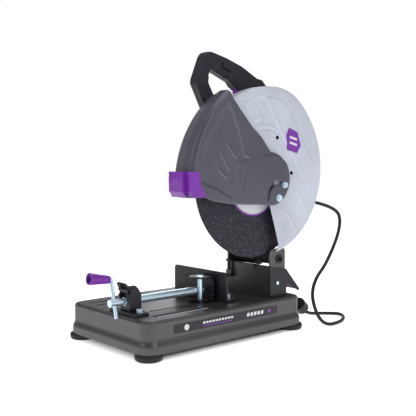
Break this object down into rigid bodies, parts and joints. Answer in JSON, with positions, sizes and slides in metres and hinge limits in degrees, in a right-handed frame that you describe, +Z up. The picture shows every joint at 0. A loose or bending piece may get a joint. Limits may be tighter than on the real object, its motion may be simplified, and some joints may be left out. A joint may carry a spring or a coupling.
{
  "type": "abrasive chop saw",
  "caption": "Abrasive cut-off saw: pressed-steel base with quick-release vise and fence, swinging motor head, guarded cutting disc, D-handle and power cord.",
  "frame": {"origin": "floor level under the middle of the base", "axes": "+Z up, +X to the operator's right (the disc side), -Y towards the operator (the vise crank side)"},
  "size_m": [0.3346, 0.7217, 0.6482],
  "materials": {
    "base_paint": "semi-gloss metallic",
    "rubber": "matte",
    "zinc": "zinc plated",
    "label_film": "gloss",
    "black_paint": "semi-gloss",
    "accent_plastic": "satin",
    "aluminium": "die cast",
    "black_plastic": "fine texture",
    "laminations": "laminated",
    "copper": "enamelled winding",
    "guard_light": "satin",
    "guard_dark": "satin",
    "disc_abrasive": "coarse grain",
    "disc_paper": "printed paper"
  },
  "bodies": {
    "base": {"base_pan": "base_paint", "rubber_feet": "rubber", "foot_screws": "zinc", "side_label": "label_film", "pivot_bracket": "base_paint", "pivot_shaft": "black_paint", "shaft_clips": "black_paint", "torsion_spring": "zinc", "stop_bolt": "black_paint", "spark_deflector": "black_paint", "deflector_screw": "zinc", "vise_bracket": "black_paint", "bracket_bolts": "zinc", "latch_pin": "black_paint", "fence_pivot_bolt": "zinc", "power_cord": "rubber", "cord_plug": "rubber"},
    "fence": {"fence": "black_paint", "fence_clamp_bolt": "zinc"},
    "latch": {"release_latch": "black_paint"},
    "jaw": {"vise_jaw": "black_paint", "jaw_pin": "zinc"},
    "screw": {"vise_screw": "zinc", "crank_arm": "zinc"},
    "grip": {"crank_grip": "accent_plastic"},
    "head": {"head_arm": "black_paint", "gearcase_cover": "aluminium", "motor_housing": "black_plastic", "motor_end_cap": "black_plastic", "field_coil": "laminations", "brush_caps": "black_plastic", "spindle_bearings": "zinc", "motor_bearings": "zinc", "cord_sleeve": "rubber", "fixed_guard": "guard_light", "guard_screws": "zinc", "guard_pivot_bolt": "zinc", "guard_stop_bolt": "zinc", "handle_left": "black_plastic", "handle_right": "black_plastic", "handle_screws": "zinc", "switch_body": "black_plastic"},
    "rotor": {"armature": "copper", "cooling_fan": "black_plastic"},
    "disc": {"spindle": "zinc", "drive_gear": "zinc", "inner_flange": "zinc", "cutting_disc": "disc_abrasive", "disc_label": "disc_paper", "outer_flange": "zinc", "flange_bolt": "zinc"},
    "cover": {"moving_guard": "guard_dark", "guard_lip": "accent_plastic", "lip_screws": "accent_plastic"},
    "trigger": {"trigger": "accent_plastic"},
    "lock_button": {"lock_button": "black_plastic"},
    "spindle_lock": {"spindle_lock": "zinc"}
  },
  "joints": [
    {"name": "arm_swing", "type": "hinge", "parent": "base", "child": "head", "pos_m": [0, 0.176, 0.171], "axis": [1, 0, 0], "range_deg": [0, 43], "deforming": ["torsion_spring"]},
    {"name": "disc_spin", "type": "hinge", "parent": "head", "child": "disc", "pos_m": [0.107, 0.1036, 0.3582], "axis": [1, 0, 0], "continuous": true},
    {"name": "rotor_spin", "type": "hinge", "parent": "head", "child": "rotor", "pos_m": [0, 0.1126, 0.3991], "axis": [1, 0, 0], "continuous": true},
    {"name": "guard_swing", "type": "hinge", "parent": "head", "child": "cover", "pos_m": [0.14, 0.1486, 0.3172], "axis": [1, 0, 0], "range_deg": [-100, 0]},
    {"name": "trigger_pull", "type": "hinge", "parent": "head", "child": "trigger", "pos_m": [0.0445, 0.1336, 0.5802], "axis": [1, 0, 0], "range_deg": [-8, 0]},
    {"name": "lock_press", "type": "slide", "parent": "head", "child": "lock_button", "axis": [-1, 0, 0], "range_m": [0, 0.0025]},
    {"name": "spindle_lock_press", "type": "slide", "parent": "head", "child": "spindle_lock", "axis": [1, 0, 0], "range_m": [0, 0.004]},
    {"name": "vise_slide", "type": "slide", "parent": "base", "child": "jaw", "axis": [0, -1, 0], "range_m": [-0.002, 0.13]},
    {"name": "crank_spin", "type": "hinge", "parent": "jaw", "child": "screw", "pos_m": [0.042, -0.238, 0.108], "axis": [0, 1, 0], "continuous": true},
    {"name": "grip_spin", "type": "hinge", "parent": "screw", "child": "grip", "pos_m": [0.02998, -0.24295, 0.15622], "axis": [-0.0337, -0.9903, 0.135], "continuous": true},
    {"name": "latch_flip", "type": "hinge", "parent": "base", "child": "latch", "pos_m": [0.042, -0.206, 0.132], "axis": [1, 0, 0], "range_deg": [0, 55]},
    {"name": "fence_turn", "type": "hinge", "parent": "base", "child": "fence", "pos_m": [0.075, 0.052, 0.082], "axis": [0, 0, 1], "range_deg": [-30, 0]}
  ],
  "couplings": [
    {"joint": "rotor_spin", "follows": "disc_spin", "ratio": -5.0909}
  ]
}
